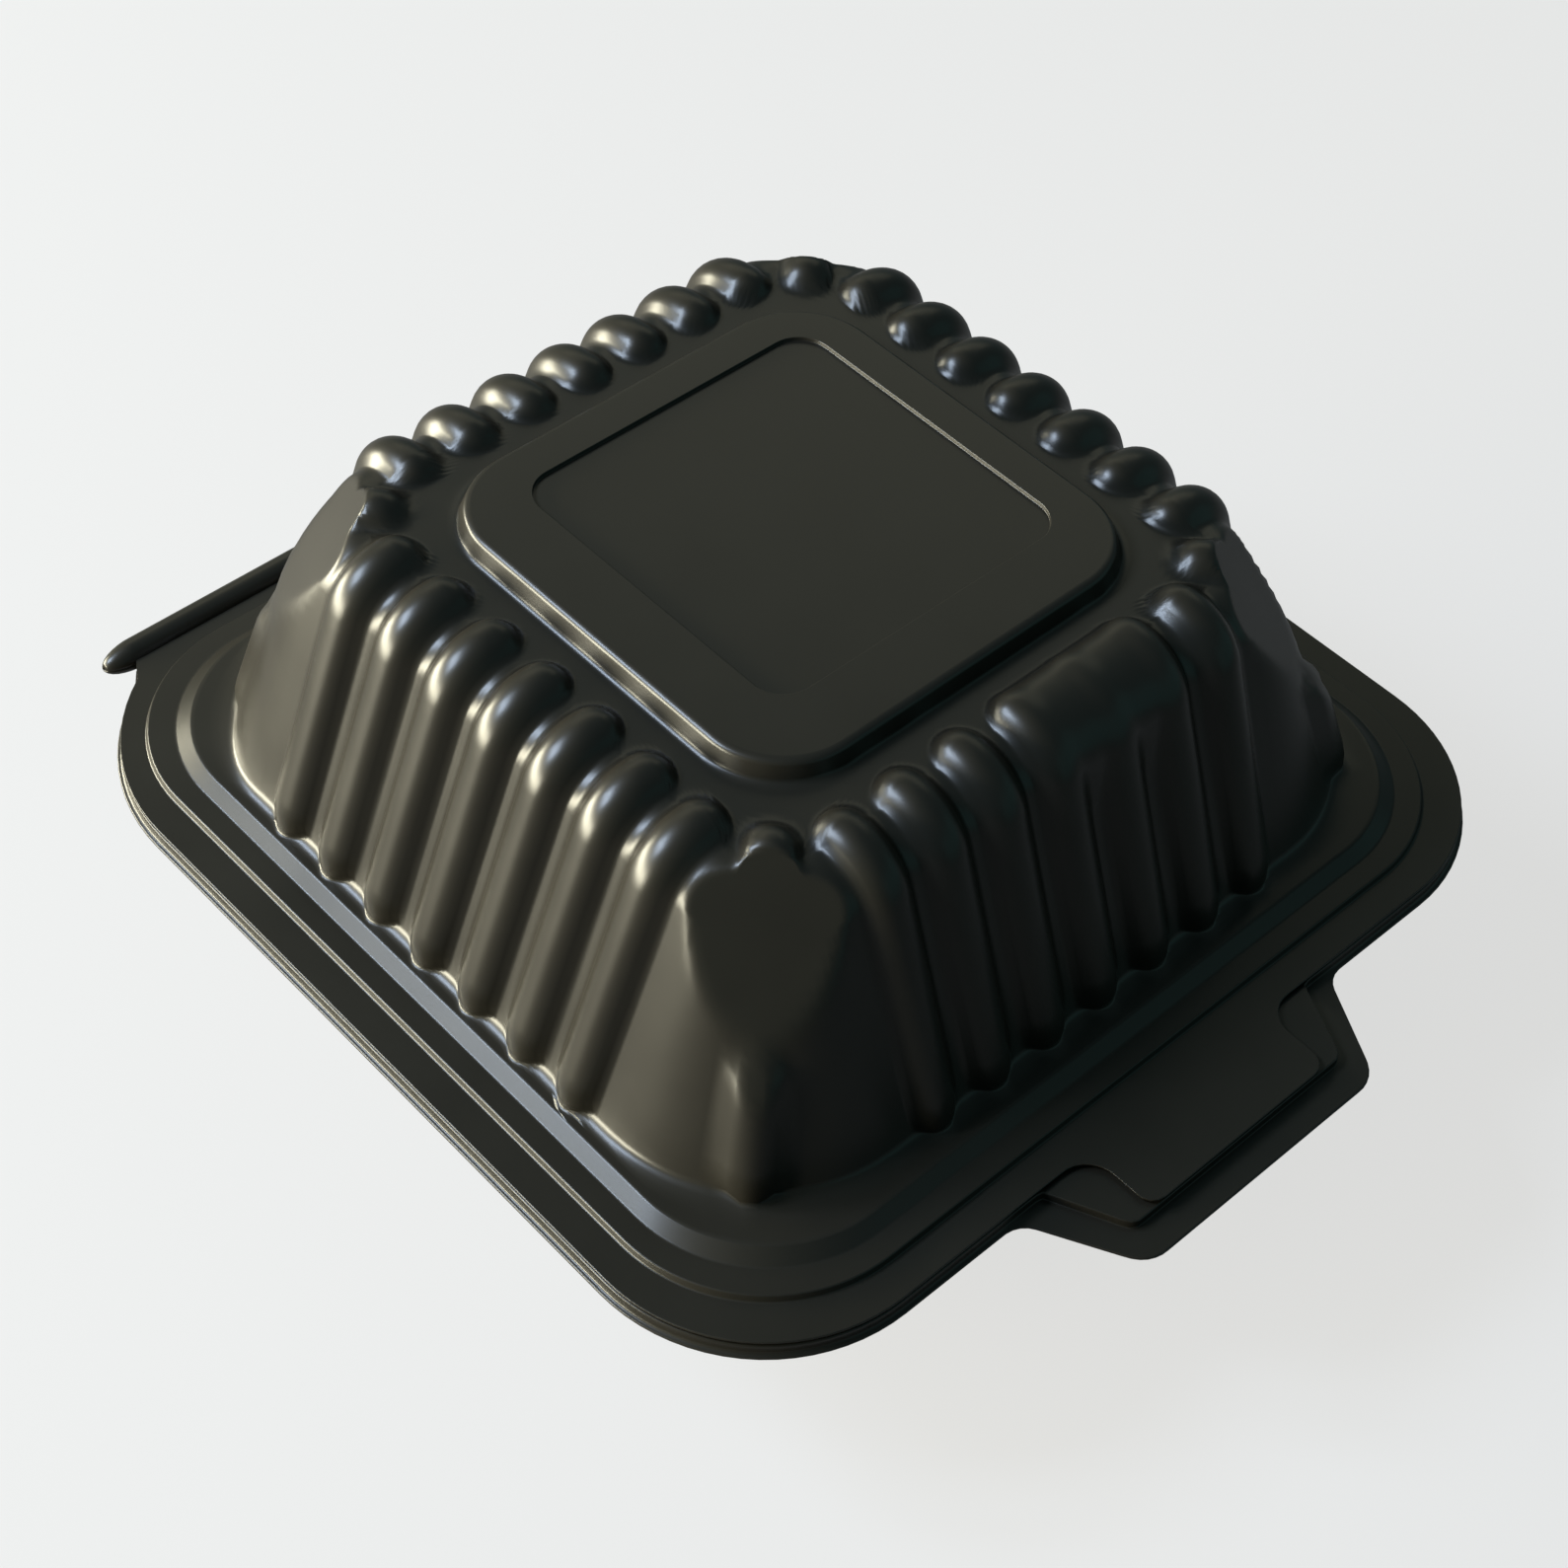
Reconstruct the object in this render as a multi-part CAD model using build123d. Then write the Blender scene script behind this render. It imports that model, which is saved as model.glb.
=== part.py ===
from build123d import *
import os
from math import atan2, cos, radians, sin, sqrt, tan

# Hinged food container, formed from one plastic sheet. Lengths are in millimetres and +Z is up.
# The origin is on the table under the middle of the rim. The latch is at -Y and the hinge at +Y.

# Sheet and fits
sheet = 0.6
seat_gap = 0.3
stack_clearance = 0.8
overrun = 5.0

# Rim, the same plan on both halves: an outer band, two steps up and a ledge to the wall
rim_side = 151.4
rim_corner = 26.0
hinge_corner = 31.0
step_corner_share = 0.55
outer_band = 4.0
low_step_run = 1.0
low_step_rise = 1.0
middle_band = 3.3
high_step_run = 1.6
high_step_rise = 1.5
ledge = 2.9
bowl_shift = 1.8

# Lid dome
lid_height = 38.5
lid_draft = 20.8
wall_foot_corner = 25.0
deck_corner = 10.0
shoulder_radius = 8.0

# Flutes pressed out of the walls, and the land that joins the tops of some by the latch
flute_pitch = 10.0
flute_width = 7.4
flute_rise = 2.6
flute_reach = 10.0
flute_root = 1.0
flute_foot_lift = 2.0
land_pitches = 2
land_inset = 0.8
land_step = 0.3
land_drop = 6.0

# Facets that cut the corners of the dome
facet_inset = 9.1
facet_drop = 17.5

# Raised top of the lid with its sunk panel
deck_walk = 14.2
plateau_rise = 3.0
plateau_run = 3.2
plateau_corner = 13.0
plateau_edge = 1.5
panel_margin = 5.3
panel_shift = 2.0
panel_depth = 1.1
panel_run = 0.9
panel_corner = 5.0

# Base tray
base_depth = 36.0
base_draft = 14.5
mouth_inset = 1.2
base_corner = 30.0
base_edge = 5.0
base_flute_margin = 6.0
skirt_drop = 2.2
lip = 0.7

# Latch: a tongue on the lid over a raised pad on the base's tab
tongue_width = 34.0
tongue_reach = 11.1
tongue_corner = 2.5
tongue_root = 4.5
pad_side = 8.4
pad_taper = 5.4
pad_corner = 2.0
tab_border = 4.7
tab_taper = 8.3
tab_corner = 5.0
tab_root = 4.0

# Living hinge: a bead split along its fold
bead_radius = 3.0
bead_inset = 0.5
hinge_length = 128.0

# Heights
base_band_z = base_depth
lid_band_z = base_band_z + seat_gap + sheet
fold_z = base_band_z + seat_gap / 2
ledge_rise = low_step_rise + high_step_rise
ledge_z = lid_band_z + ledge_rise
deck_z = ledge_z + lid_height
base_ledge_z = base_band_z + ledge_rise
lip_z = base_band_z - skirt_drop

# Half sides of the rim's breaks, from the edge inwards
rim_half = rim_side / 2
low_step_half = rim_half - outer_band
middle_half = low_step_half - low_step_run
high_step_half = middle_half - middle_band
ledge_half = high_step_half - high_step_run
wall_foot = ledge_half - ledge
deck_half = wall_foot - lid_height * tan(radians(lid_draft))
plateau_half = deck_half - deck_walk
mouth_half = wall_foot - mouth_inset

# Flute section: a circle whose axis lies under the face of the sheet
flute_radius = ((flute_width / 2) ** 2 + flute_rise**2) / (2 * flute_rise)
flute_sink = flute_radius - flute_rise
flutes_beside_middle = int((wall_foot - wall_foot_corner) / flute_pitch)

# Latch widths and the hinge bead's axis
tongue_half = tongue_width / 2
pad_half = tongue_half + pad_side
tab_half = pad_half + tab_border
bead_y = rim_half - bead_inset


def rounded_square(half, corner, z):
    """A level square with round corners, half a side wide from the axis."""
    return Pos(0, 0, z) * RectangleRounded(2 * half, 2 * half, corner)


def frustum(low, high):
    """A solid with flat sides between two rounded squares, each given as half side, corner, height."""
    return loft([rounded_square(*low), rounded_square(*high)], ruled=True)


def diagonal(half, corner):
    """How far from the axis a rounded square reaches along its diagonal."""
    return (half - corner) * sqrt(2) + corner


def around(solid, first_turn):
    """Four copies of a solid, a quarter turn apart about the axis."""
    return [Rot(0, 0, first_turn + turn) * solid for turn in (0, 90, 180, 270)]


def side_row(solid):
    """Copies of a flute at the pitch along the +X side."""
    steps = range(-flutes_beside_middle, flutes_beside_middle + 1)
    return [Pos(0, step * flute_pitch, 0) * solid for step in steps]


# Rim


def inside_corner(half):
    """Corner radius of a line round the rim, half a side from the middle."""
    return rim_corner - step_corner_share * (rim_half - half)


def rim_plan(margin):
    """The rim's outline, wider by margin all round, with rounder corners at the hinge."""
    side = rim_side + 2 * margin
    plan = Rectangle(side, side)
    plan = fillet(plan.vertices().group_by(Axis.Y)[0], rim_corner + margin)
    return fillet(plan.vertices().group_by(Axis.Y)[-1], hinge_corner + margin)


def rim_steps(band_z):
    """The two steps of the rim as a solid that stands on the level of the outer band."""
    middle_z = band_z + low_step_rise
    top_z = band_z + ledge_rise
    low_step = frustum(
        (low_step_half, inside_corner(low_step_half), band_z),
        (middle_half, inside_corner(middle_half), middle_z),
    )
    high_step = frustum(
        (high_step_half, inside_corner(high_step_half), middle_z),
        (ledge_half, inside_corner(ledge_half), top_z),
    )
    return low_step + high_step


def rim_hollow(band_z):
    """What the sheet leaves empty under the steps."""
    below = rounded_square(low_step_half, inside_corner(low_step_half), band_z - sheet)
    return rim_steps(band_z - sheet) + extrude(below, -overrun)


def front_tab(root_half, front_half, reach, corner):
    """A flat tab that stands out from the latch side of the rim, with round front corners."""
    root_y = outer_band - rim_half
    front_y = -rim_half - reach
    outline = Polyline(
        (-root_half, root_y),
        (-root_half, -rim_half),
        (-front_half, front_y),
        (front_half, front_y),
        (root_half, -rim_half),
        (root_half, root_y),
        close=True,
    )
    tab = make_face(outline)
    return fillet(tab.vertices().group_by(Axis.Y)[0], corner)


def with_root_fillets(outline, half, edge_y, radius):
    """The outline with its two inner corners rounded, where a tab leaves the edge at edge_y."""
    left = outline.vertices().sort_by_distance((-half, edge_y, 0))[0]
    right = outline.vertices().sort_by_distance((half, edge_y, 0))[0]
    return fillet([left, right], radius)


# Flutes


def flute_path(edge, foot, end_z):
    """The flute's axis on the +X side: along the deck, over the shoulder and down the wall to end_z.

    The wall meets the deck at edge and the ledge at foot, as distances from the middle of the lid.
    """
    slope = atan2(foot - edge, lid_height)
    axis_z = deck_z - flute_sink
    start = (edge - flute_reach + flute_radius, 0, axis_z)
    bend = (edge - flute_sink * (1 - sin(slope)) / cos(slope), 0, axis_z)
    end = (edge + ((deck_z - end_z) * sin(slope) - flute_sink) / cos(slope), 0, end_z)
    return FilletPolyline(start, bend, end, radius=shoulder_radius - flute_sink)


def across(path):
    """The plane across the start of a path, with its second axis away from the sheet."""
    return Plane(path @ 0, x_dir=(0, 1, 0), z_dir=path % 0)


def flute(edge, foot, shrink):
    """One flute with round ends, made smaller by shrink for the inner face of the sheet."""
    path = flute_path(edge, foot, ledge_z + flute_foot_lift)
    radius = flute_radius - shrink
    section = Circle(radius) - Pos(0, -flute_root - radius) * Rectangle(2 * radius, 2 * radius)
    run = sweep(across(path) * section, path=path)
    return run + [Pos(*(path @ end)) * Sphere(radius) for end in (0, 1)]


def flute_land(shrink):
    """The land on the +X side that fills the gaps between flute tops, from the middle flute on."""
    path = flute_path(deck_half, wall_foot, deck_z - land_drop)
    radius = flute_radius - land_step - shrink
    middle = land_pitches * flute_pitch / 2
    width = 2 * (middle - land_inset)
    section = Pos(middle, (radius - flute_root) / 2) * Rectangle(width, radius + flute_root)
    run = sweep(across(path) * section, path=path)
    roll = Pos(0, middle, 0) * Cylinder(radius, width, rotation=(90, 0, 0))
    return run + [Pos(*(path @ end)) * roll for end in (0, 1)]


# Lid


def wall_half(z, shrink):
    """Half side of the dome's wall at a height, moved in by shrink across the sheet."""
    slope = radians(lid_draft)
    return wall_foot - (z - ledge_z) * tan(slope) - shrink / cos(slope)


def wall_corner(z, shrink):
    """Corner radius of the dome's wall at a height."""
    return wall_foot_corner + (deck_corner - wall_foot_corner) * (z - ledge_z) / lid_height - shrink


def facet_block(shrink):
    """What a facet cuts off the corner on the +X side, once it is turned onto the diagonal."""
    low_z = deck_z - facet_drop
    top_x = diagonal(deck_half, deck_corner) - facet_inset
    low_x = diagonal(wall_half(low_z, 0), wall_corner(low_z, 0))
    lean = atan2(low_x - top_x, facet_drop)
    outward = Vector(cos(lean), 0, sin(lean))
    face = Plane(Vector(top_x, 0, deck_z) - outward * shrink, x_dir=(0, 1, 0), z_dir=outward)
    return extrude(face * Rectangle(rim_side, rim_side), rim_side)


def dome(shrink):
    """The fluted dome as a solid, made smaller by shrink for the inner face of the sheet."""
    low_z = ledge_z - shrink
    top_z = deck_z - shrink
    body = frustum(
        (wall_half(low_z, shrink), wall_corner(low_z, shrink), low_z),
        (wall_half(top_z, shrink), wall_corner(top_z, shrink), top_z),
    )
    body = fillet(body.edges().group_by(Axis.Z)[-1], shoulder_radius - shrink)
    corner_edge = diagonal(deck_half, deck_corner)
    corner_foot = diagonal(wall_foot, wall_foot_corner)
    corner_flutes = around(flute(corner_edge, corner_foot, shrink), 45)
    body = body + corner_flutes - around(facet_block(shrink), 45)
    side_flutes = [Rot(0, 0, -90) * flute_land(shrink)]
    for one in side_row(flute(deck_half, wall_foot, shrink)):
        side_flutes += around(one, 0)
    return body + side_flutes


def plateau(drop):
    """The raised top with its sunk panel, lowered by drop for the inner face of the sheet."""
    low_z = deck_z - drop
    top_z = low_z + plateau_rise
    top_half = plateau_half - plateau_run
    body = frustum(
        (plateau_half, plateau_corner, low_z),
        (top_half, plateau_corner - plateau_run, top_z),
    )
    body = fillet(body.edges().group_by(Axis.Z)[-1], plateau_edge)
    panel_half = top_half - panel_margin
    panel = frustum(
        (panel_half - panel_run, panel_corner - panel_run, top_z - panel_depth),
        (panel_half, panel_corner, top_z),
    )
    return body - Pos(panel_shift, panel_shift, 0) * panel


def make_lid():
    """The lid: rim, fluted dome, raised top, latch tongue and the upper half of the hinge bead."""
    tongue = front_tab(tongue_half, tongue_half, tongue_reach, tongue_corner)
    plan = rim_plan(0) + tongue
    plan = with_root_fillets(plan, tongue_half, -rim_half, tongue_root)
    band = extrude(Pos(0, 0, lid_band_z - sheet) * plan, sheet) - hinge_room()
    bead = split(hinge_bead(bead_radius), Plane((0, 0, lid_band_z - sheet)), keep=Keep.TOP)
    bowl = Pos(0, bowl_shift, 0)
    outside = band + bead + rim_steps(lid_band_z) + bowl * (dome(0) + plateau(0))
    inside = rim_hollow(lid_band_z) + bowl * (dome(sheet) + plateau(sheet))
    return outside - inside - hinge_bead(bead_radius - sheet)


# Living hinge


def hinge_bead(radius):
    """The round bar along the hinge side whose skin is the bead."""
    return Pos(0, bead_y, fold_z) * Cylinder(radius, hinge_length, rotation=(0, 90, 0))


def hinge_room():
    """Where the bead takes the place of the rim's edge and skirt."""
    outer_y = rim_half + overrun
    edge = Box(hinge_length, outer_y - bead_y, skirt_drop + 2 * overrun)
    skirt_y = bead_y - bead_radius
    hang = (Align.CENTER, Align.MIN, Align.MAX)
    skirt = Box(hinge_length, outer_y - skirt_y, skirt_drop + overrun, align=hang)
    return Pos(0, (outer_y + bead_y) / 2, fold_z) * edge + Pos(0, skirt_y, base_band_z - sheet) * skirt


# Base tray


def base_half(z, shrink):
    """Half side of the tray's wall at a height, moved in by shrink across the sheet."""
    slope = radians(base_draft)
    return mouth_half - (base_ledge_z - z) * tan(slope) + (sheet - shrink) / cos(slope)


def base_flute(shrink):
    """One short flute with round ends on the +X side of the tray."""
    radius = flute_radius - shrink
    low_z = base_flute_margin + flute_radius
    high_z = lip_z - base_flute_margin
    low = Vector(base_half(low_z, 0) - flute_sink, 0, low_z)
    high = Vector(base_half(high_z, 0) - flute_sink, 0, high_z)
    run = extrude(Plane(low, z_dir=high - low) * Circle(radius), (high - low).length)
    return run + [Pos(*end) * Sphere(radius) for end in (low, high)]


def tray(shrink, top_z):
    """The fluted tray as a solid up to top_z, made smaller by shrink for the inner face of the sheet."""
    body = frustum(
        (base_half(shrink, shrink), base_corner - shrink, shrink),
        (base_half(top_z, shrink), base_corner - shrink, top_z),
    )
    body = fillet(body.edges().group_by(Axis.Z)[0], base_edge - shrink)
    flutes = []
    for one in side_row(base_flute(shrink)):
        flutes += around(one, 0)
    stack_half = plateau_half + stack_clearance
    stack_corner = plateau_corner + stack_clearance
    stack_rise = plateau_rise + stack_clearance
    stack_recess = frustum(
        (stack_half, stack_corner, shrink),
        (stack_half - plateau_run, stack_corner - plateau_run, shrink + stack_rise),
    )
    return body + flutes - stack_recess


def base_rim():
    """The base's stepped rim with its skirt, lip, latch pad and tab."""
    pad = front_tab(pad_half, pad_half - pad_taper, tongue_reach, pad_corner)
    band = rim_plan(0) + pad
    tab = front_tab(tab_half, tab_half - tab_taper, tongue_reach + tab_border, tab_corner)
    flange = rim_plan(lip) + tab
    flange = with_root_fillets(flange, tab_half, -rim_half - lip, tab_root)
    skirt = extrude(Pos(0, 0, lip_z) * band, skirt_drop)
    hollow = extrude(Pos(0, 0, base_band_z - sheet) * offset(band, -sheet), -skirt_drop - overrun)
    edge = skirt + extrude(Pos(0, 0, lip_z) * flange, sheet) - hollow - hinge_room()
    return edge + rim_steps(base_band_z) - rim_hollow(base_band_z)


def make_base():
    """The base: fluted tray, rim, latch tab and the lower half of the hinge bead."""
    bead = split(hinge_bead(bead_radius), Plane((0, 0, base_band_z)), keep=Keep.BOTTOM)
    rim = base_rim() + bead - hinge_bead(bead_radius - sheet)
    bowl = Pos(0, bowl_shift, 0)
    return rim + bowl * tray(0, base_ledge_z) - bowl * tray(sheet, base_ledge_z + overrun)


os.makedirs("parts", exist_ok=True)
export_step(make_lid(), "parts/lid.step")
export_step(make_base(), "parts/base_tray.step")
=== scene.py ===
# %% [markdown]
# A hinged food container, formed from one thin plastic sheet
#
# The container is drawn out of a flat sheet that is heated and pulled over a mould. Every edge is
# therefore soft, and the wall has the same thin section everywhere. The solids that come with the
# frame have the right sizes, but crisp edges. This lesson draws the two halves again as smooth
# sheets, worked out as grids of points, gives them a satin black finish and lights them from a
# window.

import bpy
import numpy as np
from mathutils import Matrix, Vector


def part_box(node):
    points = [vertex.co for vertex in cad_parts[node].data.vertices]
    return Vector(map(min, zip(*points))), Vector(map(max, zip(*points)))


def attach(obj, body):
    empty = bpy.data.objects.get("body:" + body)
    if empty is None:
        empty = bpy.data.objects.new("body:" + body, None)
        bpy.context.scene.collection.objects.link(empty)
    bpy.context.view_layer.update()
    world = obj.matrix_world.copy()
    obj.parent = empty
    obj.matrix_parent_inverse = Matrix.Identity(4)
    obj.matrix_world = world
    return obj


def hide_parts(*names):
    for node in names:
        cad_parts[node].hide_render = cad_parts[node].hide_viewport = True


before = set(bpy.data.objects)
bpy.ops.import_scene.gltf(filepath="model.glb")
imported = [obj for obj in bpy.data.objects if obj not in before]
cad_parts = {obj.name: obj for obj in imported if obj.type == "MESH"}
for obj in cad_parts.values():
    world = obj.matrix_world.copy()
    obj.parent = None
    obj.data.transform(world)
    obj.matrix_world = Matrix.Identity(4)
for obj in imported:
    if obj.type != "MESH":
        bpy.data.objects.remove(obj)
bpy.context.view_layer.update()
mm_in_a_metre = 1000
lid_low, lid_high = (np.array(corner) * mm_in_a_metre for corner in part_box("lid"))
base_low, base_high = (np.array(corner) * mm_in_a_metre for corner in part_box("base_tray"))
print("lid from", lid_low, "to", lid_high, "mm")
print("base from", base_low, "to", base_high, "mm")

# %% [markdown]
# Sizes of the rim
#
# Both halves have a stepped rim, so that they nest when the container is closed. From the edge
# inwards come a flat band, a low step, a second band, a high step and a ledge at the foot of the
# wall. The outer size is read from the frame, so that the sheets always fit the solids. All shapes
# are worked out in millimetres, because that is how a mould is drawn, and put into Blender in metres.

# %% Rim in plan, in millimetres
mm = 1 / mm_in_a_metre
sheet = 0.6
rim_half = (lid_high[0] - lid_low[0]) / 2
rim_corner = 26.0
hinge_corner = 31.0
outer_band = 4.7
middle_band = 3.3
ledge = 2.5
low_step_run, low_step_rise = 0.3, 1.0
high_step_run, high_step_rise = 2.0, 1.5

low_step_half = rim_half - outer_band
middle_half = low_step_half - low_step_run
high_step_half = middle_half - middle_band
ledge_half = high_step_half - high_step_run
wall_foot = ledge_half - ledge
print("rim", round(2 * rim_half, 1), "mm, foot of the wall", round(2 * wall_foot, 1), "mm wide")

# %% Heights, in millimetres
seat_gap = 0.3
plateau_rise = 3.0
lid_band_z = lid_low[2] + sheet
base_band_z = lid_low[2] - seat_gap
ledge_rise = low_step_rise + high_step_rise
ledge_z = lid_band_z + ledge_rise
deck_z = lid_high[2] - plateau_rise
lid_height = deck_z - ledge_z
print("deck at", round(deck_z, 2), "mm, ledge at", round(ledge_z, 2), "mm")

# %% [markdown]
# A path with round corners
#
# The section of each half is a path from the middle of the bowl to the edge of the rim. A Bevel
# modifier could round a crisp mesh, but it would round every edge alike. Here the path is written
# as a few corner points, each with the radius that the mould has there. The function rounds the
# corners and returns, next to each point, its place along the corners as a number such as 2.4. That
# place lets any other value that is known at the corners be read off in between.


# %% Rounded paths
def unit(vector):
    """The vector divided by its length."""
    return vector / np.linalg.norm(vector)


def rounded_path(corners, radii, arc_points, run_points):
    """Points along straight legs between corners, with each corner replaced by an arc.

    The arc touches both legs at radius / tan(half the corner's angle) from the corner. Along it, a
    point is the mean of the two ends as seen from the arc's centre, weighted by sines so that it
    turns evenly. arc_points[i] is the number of points on corner i, and run_points[i] of those on
    the leg after it.
    """
    corners = np.asarray(corners, float)
    last = len(corners) - 1
    pieces, places = [], []
    for i, corner in enumerate(corners):
        if i in (0, last) or radii[i] == 0:
            arc, place = corner[None], np.array([float(i)])
        else:
            back, on = corners[i - 1] - corner, corners[i + 1] - corner
            a, b = unit(back), unit(on)
            half = np.arccos(np.clip(a @ b, -1, 1)) / 2
            turn = np.pi - 2 * half
            tangent = radii[i] / np.tan(half)
            centre = corner + unit(a + b) * radii[i] / np.sin(half)
            first, second = corner + a * tangent - centre, corner + b * tangent - centre
            share = np.linspace(0, 1, arc_points[i])[:, None]
            mean = np.sin((1 - share) * turn) * first + np.sin(share * turn) * second
            arc = centre + mean / np.sin(turn)
            starts, ends = i - tangent / np.linalg.norm(back), i + tangent / np.linalg.norm(on)
            place = np.interp(share[:, 0], [0, 0.5, 1], [starts, i, ends])
        if pieces and run_points[i - 1]:
            share = np.linspace(0, 1, run_points[i - 1] + 2)[1:-1]
            pieces.append(pieces[-1][-1] + share[:, None] * (arc[0] - pieces[-1][-1]))
            places.append(places[-1][-1] + share * (place[0] - places[-1][-1]))
        pieces.append(arc)
        places.append(place)
    return np.concatenate(pieces), np.concatenate(places)


bend, _ = rounded_path([(0, 0), (1, 0), (1, 1)], [0, 1, 0], [1, 3, 1], [0, 0, 0])
print("the middle of a quarter bend lies at", bend[2].round(3))

# %% [markdown]
# Rounded squares as columns
#
# Seen from above, every line round the container is a square with round corners. One quarter is a
# straight side and the corner after it. The columns of the grid are spread along that quarter once,
# and then the same columns serve every line, large or small. This keeps the columns parallel to the
# flutes, so that a flute is smooth with few points.

# %% Columns round the container
sides = 4
side_columns = 117
corner_columns = 18
right_angle = np.pi / 2
on_side = np.linspace(-1, 1, side_columns)
on_corner = np.arange(1, corner_columns + 1) / (corner_columns + 1) * right_angle
along = np.tile(np.concatenate([on_side, np.ones(corner_columns)]), sides)
turned = np.tile(np.concatenate([np.zeros(side_columns), on_corner]), sides)
quarter = np.repeat(np.arange(sides), side_columns + corner_columns)
corner_at_hinge = np.isin(quarter, (0, 1))
start_at_hinge = np.isin(quarter, (1, 2))
columns = len(quarter)
print(columns, "columns round the container")


def plan_rows(half, straight, hinge_straight, shift_x, shift_y):
    """Plan of each row: points on a rounded square.

    A side lies half from the middle. Its straight part reaches straight to both sides, or
    hinge_straight next to the hinge. A corner is an arc whose radius is half less that reach. Each
    quarter is turned by a right angle from the one before.
    """
    half, shift_x, shift_y = half[:, None], shift_x[:, None], shift_y[:, None]
    after = np.where(corner_at_hinge, hinge_straight[:, None], straight[:, None])
    before = np.where(start_at_hinge, hinge_straight[:, None], straight[:, None])
    out = after + (half - after) * np.cos(turned)
    across = -before + (before + after) * (along + 1) / 2 + (half - after) * np.sin(turned)
    c, s = np.cos(quarter * right_angle), np.sin(quarter * right_angle)
    return out * c - across * s + shift_x, out * s + across * c + shift_y


# %% [markdown]
# From lines to rows
#
# A section is a list of lines round the container, from the middle outwards. Each line says where
# it lies, how round its corners are in plan and how round the section is there. The rows in between
# follow from the rounded path. This is the same as carrying a profile round a path, with a profile
# that changes its corner radius on the way.


# %% Lines and rows
def line(half, z, straight, hinge_straight=None, x=0, y=0, radius=0, arc=1, run=0):
    """One line round a sheet: a rounded square at height z, with its middle at x and y.

    radius rounds the section at this line with arc points, and run points follow before the next.
    """
    if hinge_straight is None:
        hinge_straight = straight
    return half, z, straight, hinge_straight, x, y, radius, arc, run


def section_rows(lines):
    """All rows of a sheet: plan as above, height from the rounded path through the lines."""
    half, z, *plan, radius, arc, run = np.array(lines, float).T
    path = np.stack([half, z], axis=1)
    path, place = rounded_path(path, radius, arc.astype(int), run.astype(int))
    x, y = plan_rows(path[:, 0], *(np.interp(place, np.arange(len(half)), v) for v in plan))
    return np.stack([x, y, np.repeat(path[:, 1:], columns, axis=1)], axis=2), place


def normals(points):
    """Unit normals of a grid: the cross product of the steps from row to row and along a row."""
    along_row = np.roll(points, -1, axis=1) - np.roll(points, 1, axis=1)
    from_row = np.gradient(points, axis=0)
    cross = np.cross(from_row, along_row)
    return cross / np.linalg.norm(cross, axis=2, keepdims=True)


square, _ = section_rows([line(1, 0, 1), line(2, 0, 1)])
print("a plain band has", square.shape[0], "rows, normal", normals(square)[0, 0].round(3))

# %% [markdown]
# The lid
#
# The lid's section goes from the sunk panel over the raised top, the deck and the shoulder, down
# the wall and over the steps of the rim to the cut edge. The edge turns down by a hair, because a
# knife cuts it. The bowl lies a little nearer to the hinge than the rim does.

# %% Lid sizes, in millimetres
bowl_shift = 1.8
deck_half = 48.3
deck_corner = 10.0
deck_margin = 13.4
plateau_run = 1.1
plateau_corner = 13.0
plateau_margin = 8.1
panel_run, panel_depth, panel_corner = 0.06, 0.6, 5.0
panel_shift = 1.9
panel_middle = 2.0
wall_foot_corner = 25.0
step_corner_share = 0.55

plateau_half = deck_half - deck_margin
panel_half = plateau_half - plateau_run - plateau_margin
panel_y = bowl_shift + panel_shift
panel_straight = panel_half - panel_corner
plateau_straight = plateau_half - plateau_corner
deck_straight = deck_half - deck_corner
foot_straight = wall_foot - wall_foot_corner
middle_z = lid_band_z + low_step_rise
plateau_z = deck_z + plateau_rise
panel_z = plateau_z - panel_depth
wall_slope = np.arctan2(wall_foot - deck_half, lid_height)
print("wall leans", round(float(np.degrees(wall_slope)), 1), "degrees")

# %% Radii of the lid's section, in millimetres
panel_edge = 0.08
plateau_edge = 1.1
shoulder_radius = 8.0
foot_fillet = 2.2
high_step_edge, high_step_foot = 0.7, 0.6
low_step_edge = 0.25
cut_edge = 0.15
edge_turn = 0.35
few, some, many = 3, 6, 12
deck_rows, wall_rows = 11, 17

shoulder_run = shoulder_radius * (1 - np.sin(wall_slope)) / np.cos(wall_slope)
shoulder_start = deck_half - shoulder_run - sheet
print("shoulder starts", round(shoulder_start, 2), "mm from the middle")


def rim_line(half, z, radius):
    """A line round the rim. Its corner radius shrinks by a share of its distance from the edge."""
    corner = rim_corner - step_corner_share * (rim_half - half)
    return line(half, z, half - corner, radius=radius, arc=few)


def edge_line(half, z, **section):
    """A line along the edge, with rounder corners next to the hinge."""
    return line(half, z, rim_half - rim_corner, rim_half - hinge_corner, **section)


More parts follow.
